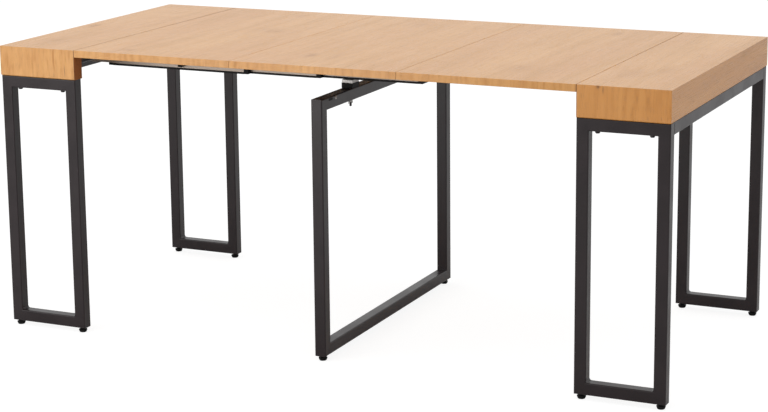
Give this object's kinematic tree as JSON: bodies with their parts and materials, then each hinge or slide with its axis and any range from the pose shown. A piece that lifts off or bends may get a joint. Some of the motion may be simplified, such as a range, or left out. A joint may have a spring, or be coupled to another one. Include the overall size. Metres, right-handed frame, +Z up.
{
  "type": "extending dining table",
  "caption": "Extending dining table with mitred oak ends on black square-tube leg loops, loose leaves laid on telescopic slides, and a centre leg.",
  "frame": {"origin": "on the floor, under the middle of the table", "axes": "+X along the table towards its right end, +Y to the rear, +Z up"},
  "size_m": [1.8, 0.86, 0.75],
  "materials": {
    "oak": "matt oak",
    "black_steel": "satin powder coat",
    "aluminium": "mill finish extrusion",
    "black_plastic": "moulded, matt",
    "zinc": "bright zinc plate"
  },
  "bodies": {
    "centre": {"centre_leg_frame": "black_steel", "saddle_blocks": "black_plastic", "saddle_plates": "zinc", "clamp_studs": "black_steel", "centre_slide_front": "aluminium", "centre_slide_rear": "aluminium", "centre_slide_caps": "black_plastic"},
    "left_end": {"left_top_board": "oak", "left_front_apron": "oak", "left_rear_apron": "oak", "left_end_apron": "oak", "left_front_leg_frame": "black_steel", "left_rear_leg_frame": "black_steel", "left_side_rail": "black_steel", "left_inner_battens": "black_steel", "left_frame_bolts": "black_steel", "left_end_slide_front": "aluminium", "left_end_slide_rear": "aluminium", "left_end_slide_caps": "black_plastic"},
    "left_outer_slide": {"left_outer_slide_front": "aluminium", "left_outer_slide_rear": "aluminium", "left_outer_slide_caps": "black_plastic"},
    "left_inner_slide": {"left_inner_slide_front": "aluminium", "left_inner_slide_rear": "aluminium", "left_inner_slide_caps": "black_plastic"},
    "right_end": {"right_top_board": "oak", "right_front_apron": "oak", "right_rear_apron": "oak", "right_end_apron": "oak", "right_front_leg_frame": "black_steel", "right_rear_leg_frame": "black_steel", "right_side_rail": "black_steel", "right_inner_battens": "black_steel", "right_frame_bolts": "black_steel", "right_end_slide_front": "aluminium", "right_end_slide_rear": "aluminium", "right_end_slide_caps": "black_plastic"},
    "right_outer_slide": {"right_outer_slide_front": "aluminium", "right_outer_slide_rear": "aluminium", "right_outer_slide_caps": "black_plastic"},
    "right_inner_slide": {"right_inner_slide_front": "aluminium", "right_inner_slide_rear": "aluminium", "right_inner_slide_caps": "black_plastic"},
    "left_leaf": {"left_leaf": "oak"},
    "middle_leaf": {"middle_leaf": "oak"},
    "right_leaf": {"right_leaf": "oak"},
    "left_front_outer_foot": {"left_front_outer_foot": "black_plastic"},
    "left_front_inner_foot": {"left_front_inner_foot": "black_plastic"},
    "left_rear_outer_foot": {"left_rear_outer_foot": "black_plastic"},
    "left_rear_inner_foot": {"left_rear_inner_foot": "black_plastic"},
    "right_front_outer_foot": {"right_front_outer_foot": "black_plastic"},
    "right_front_inner_foot": {"right_front_inner_foot": "black_plastic"},
    "right_rear_outer_foot": {"right_rear_outer_foot": "black_plastic"},
    "right_rear_inner_foot": {"right_rear_inner_foot": "black_plastic"},
    "centre_front_foot": {"centre_front_foot": "black_plastic"},
    "centre_rear_foot": {"centre_rear_foot": "black_plastic"},
    "front_wing_nut": {"front_wing_nut": "zinc"},
    "rear_wing_nut": {"rear_wing_nut": "zinc"}
  },
  "joints": [
    {"name": "left_end_slide", "type": "slide", "parent": "centre", "child": "left_end", "axis": [-1, 0, 0], "range_m": [0, 0.225]},
    {"name": "left_outer_slide", "type": "slide", "parent": "centre", "child": "left_outer_slide", "axis": [-1, 0, 0], "range_m": [0, 0.11]},
    {"name": "left_inner_slide", "type": "slide", "parent": "centre", "child": "left_inner_slide", "axis": [-1, 0, 0], "range_m": [0, 0.03]},
    {"name": "right_end_slide", "type": "slide", "parent": "centre", "child": "right_end", "axis": [1, 0, 0], "range_m": [0, 0.225]},
    {"name": "right_outer_slide", "type": "slide", "parent": "centre", "child": "right_outer_slide", "axis": [1, 0, 0], "range_m": [0, 0.11]},
    {"name": "right_inner_slide", "type": "slide", "parent": "centre", "child": "right_inner_slide", "axis": [1, 0, 0], "range_m": [0, 0.03]},
    {"name": "left_leaf_lift", "type": "slide", "parent": "centre", "child": "left_leaf", "axis": [0, 0, 1], "range_m": [0, 0.3]},
    {"name": "middle_leaf_lift", "type": "slide", "parent": "centre", "child": "middle_leaf", "axis": [0, 0, 1], "range_m": [0, 0.3]},
    {"name": "right_leaf_lift", "type": "slide", "parent": "centre", "child": "right_leaf", "axis": [0, 0, 1], "range_m": [0, 0.3]},
    {"name": "left_front_outer_foot_screw", "type": "slide", "parent": "left_end", "child": "left_front_outer_foot", "axis": [0, 0, -1], "range_m": [0, 0.012]},
    {"name": "left_front_inner_foot_screw", "type": "slide", "parent": "left_end", "child": "left_front_inner_foot", "axis": [0, 0, -1], "range_m": [0, 0.012]},
    {"name": "left_rear_outer_foot_screw", "type": "slide", "parent": "left_end", "child": "left_rear_outer_foot", "axis": [0, 0, -1], "range_m": [0, 0.012]},
    {"name": "left_rear_inner_foot_screw", "type": "slide", "parent": "left_end", "child": "left_rear_inner_foot", "axis": [0, 0, -1], "range_m": [0, 0.012]},
    {"name": "right_front_outer_foot_screw", "type": "slide", "parent": "right_end", "child": "right_front_outer_foot", "axis": [0, 0, -1], "range_m": [0, 0.012]},
    {"name": "right_front_inner_foot_screw", "type": "slide", "parent": "right_end", "child": "right_front_inner_foot", "axis": [0, 0, -1], "range_m": [0, 0.012]},
    {"name": "right_rear_outer_foot_screw", "type": "slide", "parent": "right_end", "child": "right_rear_outer_foot", "axis": [0, 0, -1], "range_m": [0, 0.012]},
    {"name": "right_rear_inner_foot_screw", "type": "slide", "parent": "right_end", "child": "right_rear_inner_foot", "axis": [0, 0, -1], "range_m": [0, 0.012]},
    {"name": "centre_front_foot_screw", "type": "slide", "parent": "centre", "child": "centre_front_foot", "axis": [0, 0, -1], "range_m": [0, 0.012]},
    {"name": "centre_rear_foot_screw", "type": "slide", "parent": "centre", "child": "centre_rear_foot", "axis": [0, 0, -1], "range_m": [0, 0.012]},
    {"name": "front_wing_nut_turn", "type": "hinge", "parent": "centre", "child": "front_wing_nut", "pos_m": [0, -0.21, 0.63], "axis": [0, 0, 1], "continuous": true},
    {"name": "rear_wing_nut_turn", "type": "hinge", "parent": "centre", "child": "rear_wing_nut", "pos_m": [0, 0.21, 0.63], "axis": [0, 0, 1], "continuous": true}
  ],
  "couplings": [
    {"joint": "left_outer_slide", "follows": "left_end_slide", "ratio": 0.4888},
    {"joint": "left_inner_slide", "follows": "left_end_slide", "ratio": 0.1333},
    {"joint": "right_outer_slide", "follows": "right_end_slide", "ratio": 0.4888},
    {"joint": "right_inner_slide", "follows": "right_end_slide", "ratio": 0.1333}
  ]
}
